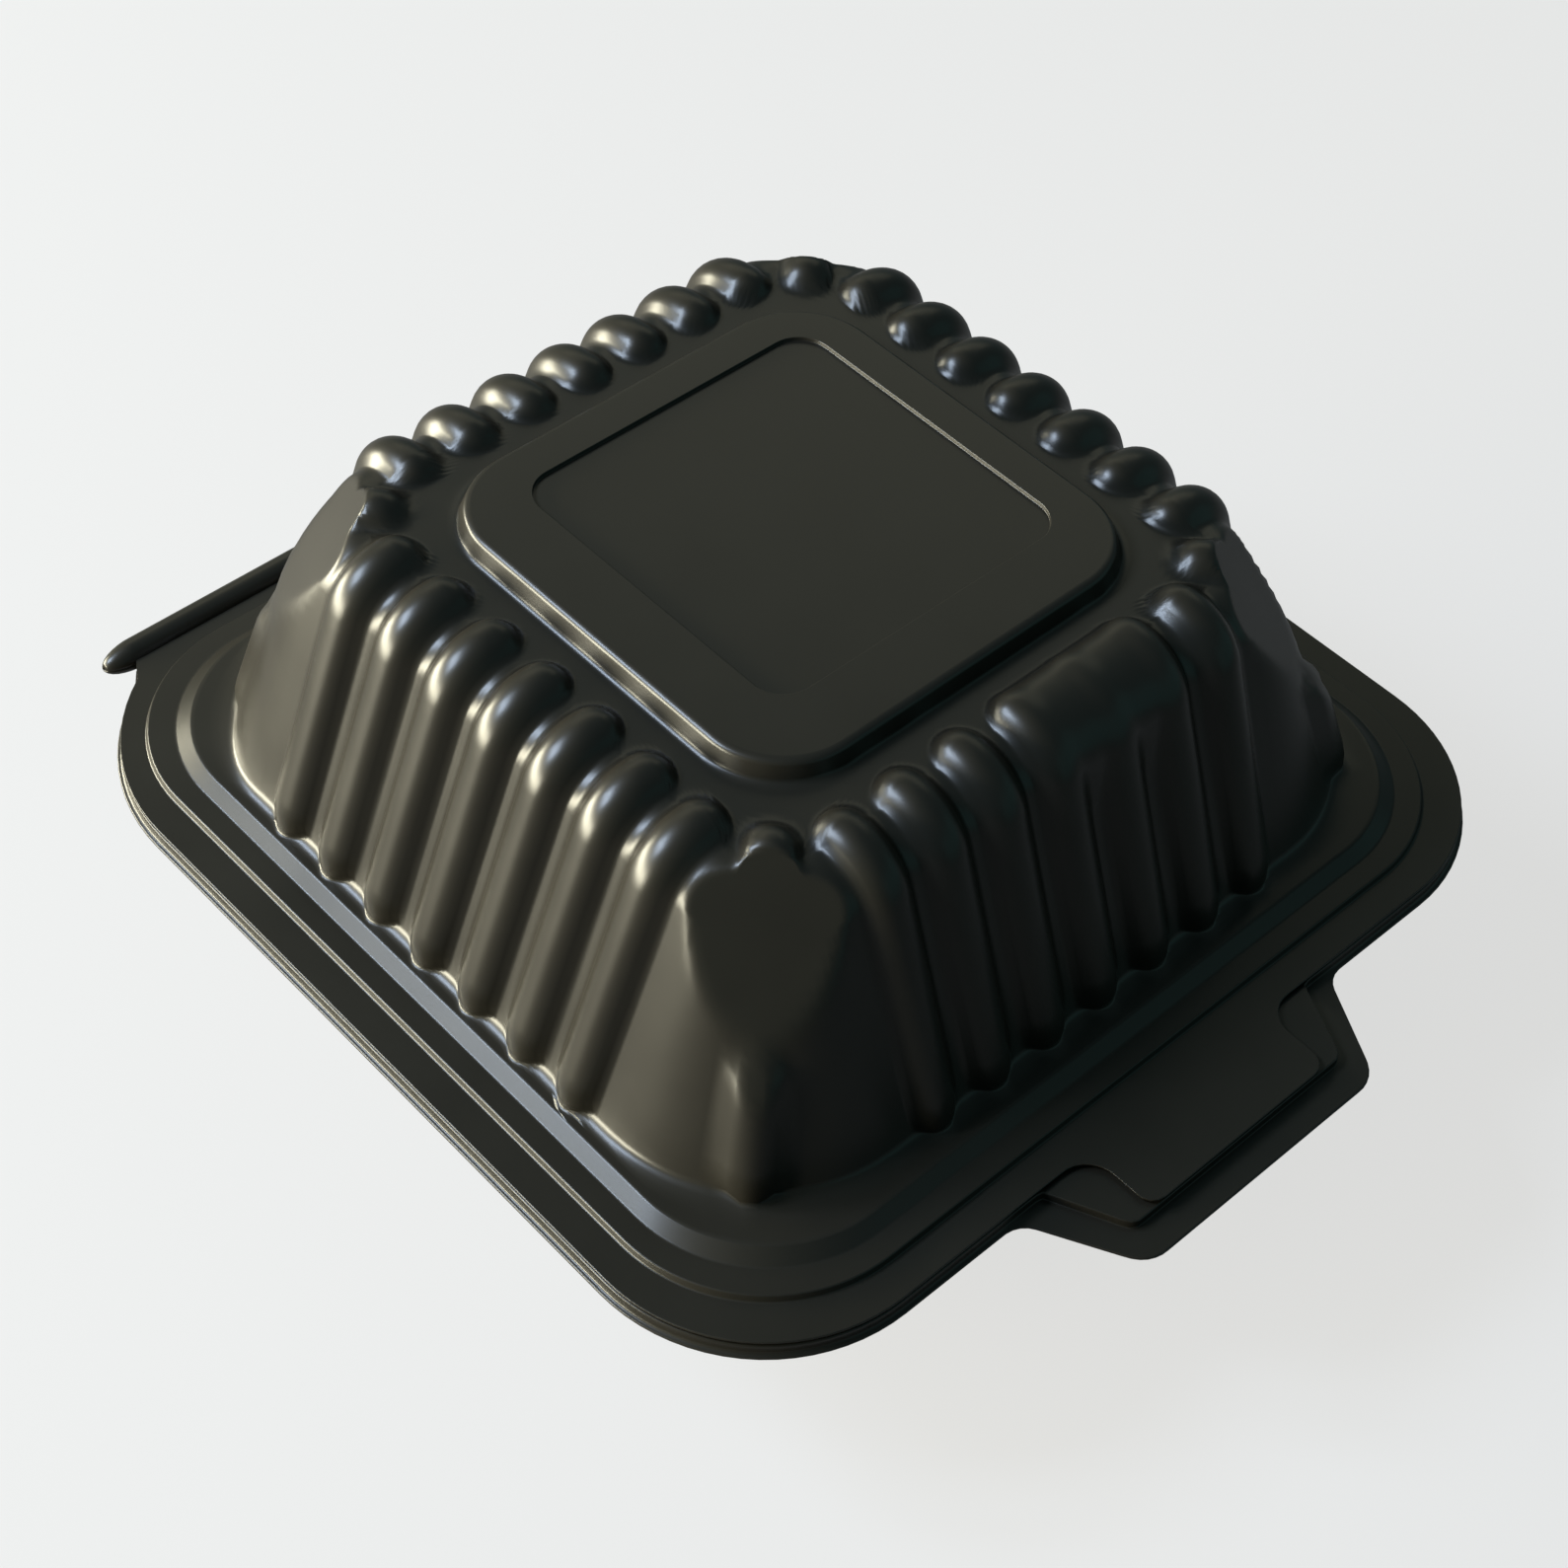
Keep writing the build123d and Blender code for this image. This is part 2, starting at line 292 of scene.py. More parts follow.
# %% Lid section
on_panel = {"x": panel_shift, "y": panel_y}
on_bowl = {"y": bowl_shift}
plateau_foot, shoulder, foot, ledge_edge, low_step = 4, 6, 7, 8, 11
lid_points, lid_place = section_rows([
    line(panel_middle, panel_z, panel_middle / 2, run=2, **on_panel),
    line(panel_half - panel_run, panel_z, panel_straight, radius=panel_edge, arc=few, **on_panel),
    line(panel_half, plateau_z, panel_straight, radius=panel_edge, arc=few, **on_panel),
    line(plateau_half - plateau_run, plateau_z, plateau_straight,
         radius=plateau_edge, arc=some, **on_bowl),
    line(plateau_half, deck_z, plateau_straight,
         radius=plateau_edge, arc=some - 1, run=deck_rows, **on_bowl),
    line(shoulder_start, deck_z, deck_straight, **on_bowl),
    line(deck_half, deck_z, deck_straight,
         radius=shoulder_radius, arc=many, run=wall_rows, **on_bowl),
    line(wall_foot, ledge_z, foot_straight, radius=foot_fillet, arc=some, **on_bowl),
    rim_line(ledge_half, ledge_z, high_step_edge),
    rim_line(high_step_half, middle_z, high_step_foot),
    rim_line(middle_half, middle_z, low_step_edge),
    rim_line(low_step_half, lid_band_z, low_step_edge),
    edge_line(rim_half, lid_band_z, radius=cut_edge, arc=few),
    edge_line(rim_half, lid_band_z - edge_turn),
])
print(len(lid_place), "rows in the lid")

# %% [markdown]
# Corners next to the hinge
#
# On the real lid, the two corners next to the hinge draw in towards the foot of the dome. A larger
# corner radius would do it, but it would turn the columns away from the flutes. So the points of the
# corner are shifted inwards instead, most on the diagonal and not at all where the corner begins.

# %% Tucked corners
hinge_tuck = 2.0
facing_out = quarter * right_angle + turned
level_out = np.stack([np.cos(facing_out), np.sin(facing_out), np.zeros(columns)], axis=1)
tuck = hinge_tuck * np.where(corner_at_hinge, np.sin(2 * turned) ** 2, 0)
down_wall = np.interp(lid_place, [shoulder, foot, ledge_edge], [0, 1, 0])
lid_points -= down_wall[:, None, None] * tuck[:, None] * level_out
lid_normals = normals(lid_points)
print("corners tucked in by up to", round(float(tuck.max()), 2), "mm")

# %% [markdown]
# Soft unions
#
# On a formed sheet, a flute grows out of the wall with a small round valley. Joining solids with a
# Boolean would leave a crisp crease. A soft maximum follows the higher of two heights, and rounds
# the crease between them over about the given softness.

# %% Soft maximum and smooth step
valley_softness = 0.42


def soft_max(a, b, softness):
    """softness times the logarithm of the sum of both exponentials of the height / softness.

    It is near the larger height, and round where the two meet.
    """
    return softness * np.logaddexp(a / softness, b / softness)


def smooth_step(value, low, high):
    """0 below low, 1 above high, and 3 t squared minus 2 t cubed in between."""
    t = np.clip((value - low) / (high - low), 0, 1)
    return t * t * (3 - 2 * t)


print("valley between equal heights rises", round(soft_max(0, 0, valley_softness), 2), "mm")

# %% [markdown]
# Flutes
#
# Flutes stiffen the thin wall. A flute is half a round bar that lies partly under the sheet, with a
# ball at each end. Across it, its height over the sheet is the height of a circle. Near its ends the
# same circle shrinks as a ball does. The height is added along the sheet's normal, so the flute
# bends over the shoulder by itself.

# %% Flute heights
flute_pitch = 10.0
flute_width = 7.4
flute_rise = 2.6
flutes_beside_middle = 3
flute_radius = ((flute_width / 2) ** 2 + flute_rise ** 2) / (2 * flute_rise)
flute_sink = flute_radius - flute_rise
print("flutes are bars of radius", round(flute_radius, 2), "mm")


def bar_height(across, beyond, radius, sink):
    """Root of (radius squared - across squared - beyond squared), less the bar's sink.

    beyond is how far a point lies past the centre of the ball at the bar's end, and 0 between the
    ends.
    """
    left = radius ** 2 - across ** 2 - beyond ** 2
    return np.where(left > 0, np.sqrt(np.maximum(left, 0)), left / radius) - sink


def side_frame(points):
    """Distance outwards and across from the middle of the nearest side of the bowl."""
    x, y = points[..., 0], points[..., 1] - bowl_shift
    on_x = np.abs(x) >= np.abs(y)
    return np.where(on_x, np.abs(x), np.abs(y)), np.where(on_x, y, x)


def from_nearest_flute(across):
    """Distance across from the axis of the nearest flute in the row."""
    step = np.round(across / flute_pitch)
    return across - np.clip(step, -flutes_beside_middle, flutes_beside_middle) * flute_pitch


# %% [markdown]
# Side flutes and the land
#
# Each side has a row of seven flutes that reach from the ledge over the shoulder onto the deck. On
# the front, a flat land joins the tops of three of them and fades out down the wall. It is a very
# wide bar of nearly the same height, lowered further down, so the valleys open out of it slowly.

# %% Heights on the sides
flute_reach = 10.0
flute_foot_lift = 3.2
land_pitches = 2
land_step = 0.05
land_drop = 20.0
land_fade = 4.0
no_relief = -50.0


def past_foot(z):
    """How far a point lies down the wall, past the centre of the ball at a flute's foot."""
    return np.maximum(0, ledge_z + flute_foot_lift - z) / np.cos(wall_slope)


def side_relief(points):
    """Height of the flutes of the four sides and of the land, over the plain dome."""
    x, y, z = points[..., 0], points[..., 1] - bowl_shift, points[..., 2]
    out, across = side_frame(points)
    before_tip = np.maximum(0, deck_half - flute_reach + flute_radius - out)
    beyond = np.maximum(past_foot(z), before_tip)
    flutes = bar_height(from_nearest_flute(across), beyond, flute_radius, flute_sink)
    beside_land = np.maximum(0, np.maximum(-x, x - land_pitches * flute_pitch))
    land = bar_height(beside_land, before_tip, flute_radius - land_step, flute_sink)
    land -= land_fade * smooth_step(deck_z - z, 0, land_drop)
    land = np.where((y < 0) & (np.abs(y) > np.abs(x)), land, no_relief)
    return soft_max(flutes, land, valley_softness)


# A share such as 0.2 is how far a row lies on the way from one line of the section to the next.
on_dome = ((lid_place > plateau_foot + 0.2) & (lid_place < foot + 0.7))[:, None]
side_heights = np.where(on_dome, side_relief(lid_points), no_relief)
print("side flutes rise up to", round(float(side_heights.max()), 2), "mm")

# %% [markdown]
# Corner flutes
#
# Each corner has a flute as well, but the facet cuts it in two. What is left is a round tip on the
# deck and a rib below the facet. The ribs next to the hinge are lower.

# %% Heights on the corners
corner_flute_reach = 13.8
corner_rib_gap = 5.0
hinge_rib_fall = 1.4
facet_drop = 17.5


def diagonal(half, straight):
    """How far a rounded square reaches along its diagonal: straight times root 2, plus its radius."""
    return straight * np.sqrt(2) + half - straight


corner_edge = diagonal(deck_half, deck_straight)


def corner_relief(points):
    """Height of the corner flutes: a round tip on the deck, and a rib below the facet."""
    x, y, z = points[..., 0], points[..., 1] - bowl_shift, points[..., 2]
    out, across = (np.abs(x) + np.abs(y)) / np.sqrt(2), (np.abs(x) - np.abs(y)) / np.sqrt(2)
    before_tip = np.maximum(0, corner_edge - corner_flute_reach + flute_radius - out)
    tip = bar_height(across, np.maximum(before_tip, deck_z - z), flute_radius, flute_sink)
    above_rib = np.maximum(0, z - deck_z + facet_drop + corner_rib_gap)
    rib = bar_height(across, np.maximum(past_foot(z), above_rib), flute_radius, flute_sink)
    rib -= np.where(y > 0, hinge_rib_fall, 0)
    return soft_max(0, soft_max(tip, rib, valley_softness), valley_softness)


corner_heights = np.where(on_dome, corner_relief(lid_points), 0)
print("corner flutes rise up to", round(float(corner_heights.max()), 2), "mm")

# %% [markdown]
# Corner facets
#
# Each corner of the dome is cut by a flat plane, which leaves a shield with a straight top and a
# pointed foot. Heights along the normals would fold where the normals meet, so the points above the
# plane are moved straight onto it instead.

# %% Facets
facet_inset = 6.6
facet_softness = 0.12
drop_share = facet_drop / lid_height
facet_low = diagonal(deck_half + (wall_foot - deck_half) * drop_share,
                     deck_straight + (foot_straight - deck_straight) * drop_share)
facet_lean = np.arctan2(facet_low - corner_edge + facet_inset, facet_drop)
print("facets lean", round(float(np.degrees(facet_lean)), 1), "degrees")


def cut_facets(points):
    """Points above a facet's plane are moved straight down onto it, with a soft edge.

    The plane leans outwards. A point's height over it is measured along the plane's normal.
    """
    x, y, z = points[..., 0], points[..., 1] - bowl_shift, points[..., 2]
    out = (np.abs(x) + np.abs(y)) / np.sqrt(2)
    level, steep = np.cos(facet_lean), np.sin(facet_lean)
    over = (out - corner_edge + facet_inset) * level + (z - deck_z) * steep
    plane = np.stack([np.sign(x) * level / np.sqrt(2), np.sign(y) * level / np.sqrt(2),
                      np.full_like(z, steep)], axis=-1)
    return points - plane * soft_max(0, over, facet_softness)[..., None]


# %% [markdown]
# Relief on the lid
#
# The corners are shaped first, because the facets cut them. The side flutes are then joined to that
# shape with the soft maximum. Near the ledge the flutes grow straight outwards instead of along the
# normals, so that their feet stand on the ledge.

# %% Lid with its relief
upright_below, upright_above = 1.0, 4.0
lid_z = lid_points[..., 2]
at_foot = (1 - smooth_step(lid_z, ledge_z + upright_below, ledge_z + upright_above))[..., None]
direction = lid_normals + at_foot * (level_out - lid_normals)
direction /= np.linalg.norm(direction, axis=2, keepdims=True)

dome = corner_heights[..., None] * direction + lid_points
dome = np.where(on_dome[..., None], cut_facets(dome), dome)
moved = dome - lid_points
height = (moved * direction).sum(axis=2)
aside = moved - direction * height[..., None]
plain_share = 1 / (1 + np.exp((side_heights - height) / valley_softness))
risen = soft_max(height, side_heights, valley_softness)
lid_points += aside * plain_share[..., None] + direction * risen[..., None]
print("relief from", round(float(risen.min()), 2), "to", round(float(risen.max()), 2), "mm")

# %% [markdown]
# The latch tongue
#
# The latch is a tongue on the lid over a raised pad on the base. Each is only a place where the edge
# of the rim steps outwards, so no piece has to be joined on. The edge's columns are moved onto the
# outline of the tab, evenly along its length.

# %% Tab outlines
tab_arc_points = 9
edge_touch = 0.01
print("each corner of a tab has", tab_arc_points, "points")


def tab_shift(plan_x, plan_y, edge_y, root_half, front_half, reach, corner, root_corner):
    """How far each column of the front edge moves to lie on a tab's outline, as two arrays.

    The outline is a rounded path: along the edge, out to the front, along it and back. A column
    keeps its share of the way, so columns stay evenly spread.
    """
    far = root_half + 2 * root_corner + 1
    outline = [(-far, edge_y), (-root_half, edge_y), (-front_half, edge_y - reach),
               (front_half, edge_y - reach), (root_half, edge_y), (far, edge_y)]
    radii = [0, root_corner, corner, corner, root_corner, 0]
    path, _ = rounded_path(outline, radii, [tab_arc_points] * len(outline), [0] * len(outline))
    gone = np.concatenate([[0], np.cumsum(np.linalg.norm(np.diff(path, axis=0), axis=1))])
    on_front = (plan_y < edge_y + edge_touch) & (np.abs(plan_x) <= far)
    way = (plan_x + far) / (2 * far) * gone[-1]
    shift_x = np.where(on_front, np.interp(way, gone, path[:, 0]) - plan_x, 0)
    shift_y = np.where(on_front, np.interp(way, gone, path[:, 1]) - plan_y, 0)
    return shift_x, shift_y


# %% Lid tongue
tongue_half, tongue_reach, tongue_corner, tongue_root = 17.0, 11.1, 2.5, 4.5
tongue_taper = 0.01
lid_edge = np.flatnonzero(lid_place > low_step + 0.5)
shift_x, shift_y = tab_shift(
    lid_points[lid_edge[-1], :, 0], lid_points[lid_edge[-1], :, 1], -rim_half,
    tongue_half, tongue_half - tongue_taper, tongue_reach, tongue_corner, tongue_root)
lid_points[lid_edge, :, 0] += shift_x
lid_points[lid_edge, :, 1] += shift_y
print("tongue reaches", round(float(lid_points[..., 1].min()), 2), "mm")

# %% [markdown]
# Room for the hinge bead
#
# Along the hinge the sheet goes over into a round bead. The bead turns with its own half, so it is a
# piece of its own, and the rim only has to end inside it. A small notch at each end of the bead
# keeps the fold from tearing.

# %% Rim at the bead
bead_radius = 2.3
bead_reach = 2.5
bead_y = rim_half + bead_reach - bead_radius
bead_half_length = 64.0
bead_notch = 2.5


def meet_bead(points, rows):
    """Rows at the edge end in the bead, along its length but for a small notch at both ends."""
    x, y = points[rows][..., 0], points[rows][..., 1]
    beside = (y > 0) & (np.abs(x) < bead_half_length - bead_notch)
    points[rows, :, 1] = np.where(beside, bead_y - bead_radius + sheet, np.minimum(y, bead_y))


meet_bead(lid_points, lid_edge)
print("lid ends at", round(float(lid_points[..., 1].max()), 2), "mm next to the bead")

# %% [markdown]
# The base tray
#
# The base is the same kind of sheet. Its grid is the side that faces the food: a raised middle,
# which takes the top of the box below in a stack, the wall with short flutes, and the stepped rim.
# Its low step lies a little further in, so that the lid's inner side clears it. At the edge the sheet
# turns down as a skirt and ends in a narrow lip, which widens into the latch tab.

# %% Base sizes, in millimetres
base_draft = 14.5
base_slope = np.radians(base_draft)
mouth_inset = 1.2
base_outer_corner = 30.0
base_corner = base_outer_corner - sheet
stack_gap = 0.8
step_clearance = 0.5
skirt_drop = 2.2
lip = 0.7

base_ledge_z = base_band_z + ledge_rise
step_z = base_band_z + low_step_rise
lip_z = base_band_z - skirt_drop + sheet
floor_z = sheet
stack_z = floor_z + plateau_rise + stack_gap
mouth_half = wall_foot - mouth_inset
foot_half = mouth_half - (base_ledge_z - floor_z) * np.tan(base_slope)
stack_half = plateau_half + stack_gap
stack_straight = stack_half - plateau_corner - stack_gap
base_middle = middle_half - step_clearance
base_low_step = low_step_half - step_clearance
print("foot of the tray", round(2 * foot_half, 1), "mm wide")

# %% Radii of the base's section, in millimetres
stack_middle = 2.0
stack_edge = 1.5
foot_radius = 4.4
mouth_edge = 0.9
skirt_edge, lip_fillet, lip_edge = 0.25, 0.4, 0.2
quarter_arc, foot_arc = 4, 7
base_wall_rows = 16
print("foot of the tray is rounded by", foot_radius, "mm")

# %% Base section
base_foot, base_mouth, base_step, base_lip = 3, 4, 8, 10
base_points, base_place = section_rows([
    line(stack_middle, stack_z, stack_middle / 2, run=1, **on_bowl),
    line(stack_half - plateau_run, stack_z, stack_straight,
         radius=stack_edge, arc=quarter_arc, **on_bowl),
    line(stack_half, floor_z, stack_straight,
         radius=stack_edge, arc=quarter_arc, run=1, **on_bowl),
    line(foot_half, floor_z, foot_half - base_corner,
         radius=foot_radius, arc=foot_arc, run=base_wall_rows, **on_bowl),
    line(mouth_half, base_ledge_z, mouth_half - base_corner,
         radius=mouth_edge, arc=quarter_arc, **on_bowl),
    rim_line(ledge_half, base_ledge_z, high_step_edge),
    rim_line(high_step_half, step_z, high_step_foot),
    rim_line(base_middle, step_z, low_step_edge),
    rim_line(base_low_step, base_band_z, low_step_edge),
    edge_line(rim_half, base_band_z, radius=skirt_edge, arc=quarter_arc, run=1),
    edge_line(rim_half, lip_z, radius=lip_fillet, arc=few),
    edge_line(rim_half + lip, lip_z, radius=lip_edge, arc=few),
    edge_line(rim_half + lip, lip_z - edge_turn),
])
print(len(base_place), "rows in the base")

# %% [markdown]
# Flutes of the tray
#
# The tray's flutes are short, because they stop above the foot and below the rim. They are the same
# bars as the lid's, pressed outwards. The grid is the inner side, so its bars are thinner by the
# sheet, and the heights are taken away from the food.

# %% Base flutes
flute_margin = 6.0
base_flute_low = flute_margin + flute_radius
base_flute_high = base_band_z - skirt_drop - flute_margin


def base_relief(points):
    """Height of the short flutes, pressed out of the tray's wall, away from the food."""
    _, across = side_frame(points)
    z = points[..., 2]
    past_end = np.maximum(0, np.maximum(base_flute_low - z, z - base_flute_high))
    bars = bar_height(from_nearest_flute(across), past_end / np.cos(base_slope),
                      flute_radius - sheet, flute_sink - sheet)
    return soft_max(0, bars, valley_softness)


on_wall = ((base_place > base_foot + 0.1) & (base_place < base_mouth - 0.05))[:, None]
pressed = np.where(on_wall, base_relief(base_points), 0)
base_points -= normals(base_points) * pressed[..., None]
print("base flutes are pressed out by", round(float(pressed.max()), 2), "mm")

# %% [markdown]
# Latch pad and latch tab
#
# Under the tongue, the base has a raised pad for it to lie on, and the lip runs round the pad as a
# flat tab to pull on. The skirt's columns are moved onto the outline of the pad, and the lip's onto
# the outline of the tab, as for the tongue.

# %% Pad and tab
pad_root_margin, pad_front_margin = 8.4, 3.0
pad_root, pad_front = tongue_half + pad_root_margin, tongue_half + pad_front_margin
pad_corner, pad_root_corner = 2.0, 0.6
tab_border, tab_taper, tab_corner, tab_root = 4.7, 8.3, 5.0, 4.0
tab_half = pad_root + tab_border
skirt_rows = np.flatnonzero((base_place > base_step + 0.5) & (base_place < base_lip + 0.5))
lip_rows = np.flatnonzero(base_place >= base_lip + 0.5)
skirt_row, lip_row = skirt_rows[-1 - few], lip_rows[-1]

shift_x, shift_y = tab_shift(
    base_points[skirt_row, :, 0], base_points[skirt_row, :, 1], -rim_half,
    pad_root, pad_front, tongue_reach, pad_corner, pad_root_corner)
base_points[skirt_rows, :, 0] += shift_x
base_points[skirt_rows, :, 1] += shift_y
shift_x, shift_y = tab_shift(
    base_points[lip_row, :, 0], base_points[lip_row, :, 1], -rim_half - lip,
    tab_half, tab_half - tab_taper, tongue_reach + tab_border - lip, tab_corner, tab_root)
base_points[lip_rows, :, 0] += shift_x
base_points[lip_rows, :, 1] += shift_y
meet_bead(base_points, np.flatnonzero(base_place > base_step + 0.5))
print("tab reaches", round(float(base_points[..., 1].min()), 2), "mm")

# %% [markdown]
# From grid to mesh
#
# A grid becomes a mesh when its points are put in one list and each cell becomes a face. The
# innermost row is closed by a fan to a middle point. Solidify then gives the sheet its thickness, on
# the side away from the grid's normals. It is simpler than a second grid, and the wall is as even as
# on the real sheet. Weighted normals keep the flat bands flat next to the small fillets.


# %% Sheets as mesh objects
def grid_object(name, points, closed, body, wall=sheet):
    """A mesh from a grid of points. Point (row, column) has number row times columns plus column.

    A cell's face goes round its four points. A closed grid also joins its last column to its first.
    """
    rows, width = points.shape[:2]
    number = np.arange(rows * width).reshape(rows, width)
    after = np.roll(number, -1, axis=1) if closed else number[:, 1:]
    here = number if closed else number[:, :-1]
    cells = np.stack([here[:-1], here[1:], after[1:], after[:-1]], axis=-1)
    faces = cells.reshape(-1, cells.shape[-1]).tolist()
    vertices = points.reshape(-1, 3)
    if closed:
        vertices = np.concatenate([vertices, points[0].mean(axis=0)[None]])
        fan = np.stack([here[0], after[0], np.full(width, rows * width)], axis=-1)
        faces += fan.tolist()
    mesh = bpy.data.meshes.new(name)
    mesh.from_pydata((vertices * mm).tolist(), [], faces)
    mesh.polygons.foreach_set("use_smooth", np.ones(len(mesh.polygons), bool))
    mesh.update()
    piece = bpy.data.objects.new(name, mesh)
    bpy.context.scene.collection.objects.link(piece)
    thickness = piece.modifiers.new("sheet thickness", "SOLIDIFY")
    thickness.thickness = wall * mm
    thickness.offset = -1
    piece.modifiers.new("flat faces stay flat", "WEIGHTED_NORMAL")
    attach(piece, body)
    print(name, len(mesh.vertices), "points,", len(mesh.polygons), "faces")
    return piece


lid_sheet = grid_object("lid_sheet", lid_points, True, "lid")
base_sheet = grid_object("base_sheet", base_points, True, "base")
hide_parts("lid")
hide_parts("base_tray")

# %% [markdown]
# The hinge bead
#
# Along the fold, the sheet is formed into a small round bead, one half on each side. A curve with a
# round bevel would make a whole rod, but the halves part when the lid opens. So each half is a piece
# of a tube: a half circle in section, carried along the fold.

# %% Bead halves
bead_wall = sheet / 2
bead_tip = 6.0
round_points, end_points = 25, 17
fold_z = base_band_z + seat_gap / 2


def bead_half(name, first, last, body):
    """Half a tube along x: height is radius times the sine of the angle, and depth the cosine.

    Near both ends the radius shrinks as a long ball's does, so the ends are blunt points.
    """
    angle = np.linspace(first, last, round_points)[:, None]
    turn = np.linspace(-right_angle, right_angle, end_points)[1:-1]
    end_x, end_share = bead_tip * np.sin(turn), np.cos(turn)
    x = (end_x + np.sign(turn) * (bead_half_length - bead_tip))[None, :]
    y = bead_y + bead_radius * end_share * np.cos(angle)
    z = fold_z + bead_radius * end_share * np.sin(angle)
    tube = np.stack([x + 0 * angle, y, z], axis=2)
    return grid_object(name, tube, False, body, bead_wall)


fold_gap = np.arcsin(seat_gap / 2 / bead_radius)
lid_bead = bead_half("lid_bead", fold_gap, np.pi - fold_gap, "lid")
base_bead = bead_half("base_bead", np.pi + fold_gap, 2 * np.pi - fold_gap, "base")

# %% [markdown]
# Satin black polypropylene
#
# The sheet is polypropylene filled with talc and dyed black, drawn hot over a mould. That leaves a
# satin skin: to the eye, a black with a trace of brown, broad soft highlights, and a slight cloudiness
# where the sheet was stretched. A picture could be mapped on for this, but noise on Object
# coordinates has no seams. The real grain is a few hundredths of a millimetre, which is too fine to
# show, so it is drawn coarser here and very low.


# %% Nodes and colours
def linear(hex_colour):
    """Linear colour of an sRGB hex value: the standard curve, for each of the three channels."""
    channels = np.array([int(hex_colour[i:i + 2], 16) for i in (1, 3, 5)]) / 255
    curve = ((channels + 0.055) / 1.055) ** 2.4
    return (*np.where(channels <= 0.04045, channels / 12.92, curve), 1.0)


def add_node(tree, kind, links=(), **settings):
    """Adds a node, sets its properties and inputs by name, and links other outputs to its inputs."""
    node = tree.nodes.new(kind)
    for name, value in settings.items():
        if hasattr(node, name):
            setattr(node, name, value)
        else:
            node.inputs[name.replace("_", " ")].default_value = value
    for source, socket in links:
        tree.links.new(source, node.inputs[socket])
    return node


print("mid grey is", round(linear("#808080")[0], 3), "in linear light")

# %% Finish
cloud_size = 14.0
grain_size = 0.6
grain_height = 0.01
plastic = bpy.data.materials.new("satin_black_polypropylene")
plastic.use_nodes = True
tree = plastic.node_tree
tree.nodes.clear()
place = add_node(tree, "ShaderNodeTexCoord").outputs["Object"]
clouds = add_node(tree, "ShaderNodeTexNoise", [(place, "Vector")],
                  Scale=1 / (cloud_size * mm), Detail=3.0).outputs["Fac"]
grain = add_node(tree, "ShaderNodeTexNoise", [(place, "Vector")],
                 Scale=1 / (grain_size * mm), Detail=2.0).outputs["Fac"]
rough = add_node(tree, "ShaderNodeMapRange", [(clouds, "Value")], To_Min=0.29, To_Max=0.36)
tint = add_node(tree, "ShaderNodeMix", [(clouds, 0)], data_type="RGBA")
tint.inputs["A"].default_value = linear("#181612")
tint.inputs["B"].default_value = linear("#1d1b16")
bump = add_node(tree, "ShaderNodeBump", [(grain, "Height")],
                Strength=0.02, Distance=grain_height * mm)
surface = add_node(tree, "ShaderNodeBsdfPrincipled", [
    (tint.outputs["Result"], "Base Color"),
    (rough.outputs["Result"], "Roughness"),
    (bump.outputs["Normal"], "Normal"),
], IOR=1.49, Specular_IOR_Level=0.32)
add_node(tree, "ShaderNodeOutputMaterial", [(surface.outputs["BSDF"], "Surface")])
for piece in (lid_sheet, base_sheet, lid_bead, base_bead):
    piece.data.materials.append(plastic)
print(plastic.name, "has", len(tree.nodes), "nodes")

# %% [markdown]
# Floor and backdrop
#
# The container stands on a plain pale floor, in front of a pale backdrop. Lamps strong enough to make
# them white would wash out the plastic, so they glow for the camera instead, and much less in the
# plastic's gloss. The floor also has a matt part, which takes the container's shadow.


# %% Floor
def backdrop_share(tree, glossy_share):
    """How far a ray sees the glow: 1 from the camera or through glass, glossy_share in a gloss."""
    ray = add_node(tree, "ShaderNodeLightPath").outputs
    seen = add_node(tree, "ShaderNodeMath", [(ray["Is Glossy Ray"], 0), (ray["Is Camera Ray"], 2)],
                    operation="MULTIPLY_ADD")
    seen.inputs[1].default_value = glossy_share
    return add_node(tree, "ShaderNodeMath",
                    [(seen.outputs[0], 0), (ray["Is Transmission Ray"], 1)],
                    operation="MAXIMUM").outputs[0]


floor_half = 3.0
floor_mesh = bpy.data.meshes.new("floor")
floor_mesh.from_pydata([(-floor_half, -floor_half, 0), (floor_half, -floor_half, 0),
                        (floor_half, floor_half, 0), (-floor_half, floor_half, 0)], [], [(0, 1, 2, 3)])
floor = bpy.data.objects.new("floor", floor_mesh)
bpy.context.scene.collection.objects.link(floor)

paper = bpy.data.materials.new("pale_floor")
paper.use_nodes = True
tree = paper.node_tree
tree.nodes.clear()
matt = add_node(tree, "ShaderNodeBsdfDiffuse", Color=linear("#545454")).outputs[0]
glow = add_node(tree, "ShaderNodeEmission", Color=linear("#efefee"), Strength=0.80).outputs[0]
pale = add_node(tree, "ShaderNodeAddShader", [(matt, 0), (glow, 1)]).outputs[0]
floor_mix = add_node(tree, "ShaderNodeMixShader",
                     [(backdrop_share(tree, glossy_share=0.15), 0), (matt, 1), (pale, 2)])
add_node(tree, "ShaderNodeOutputMaterial", [(floor_mix.outputs[0], "Surface")])
floor_mesh.materials.append(paper)
print("floor", 2 * floor_half, "m wide")

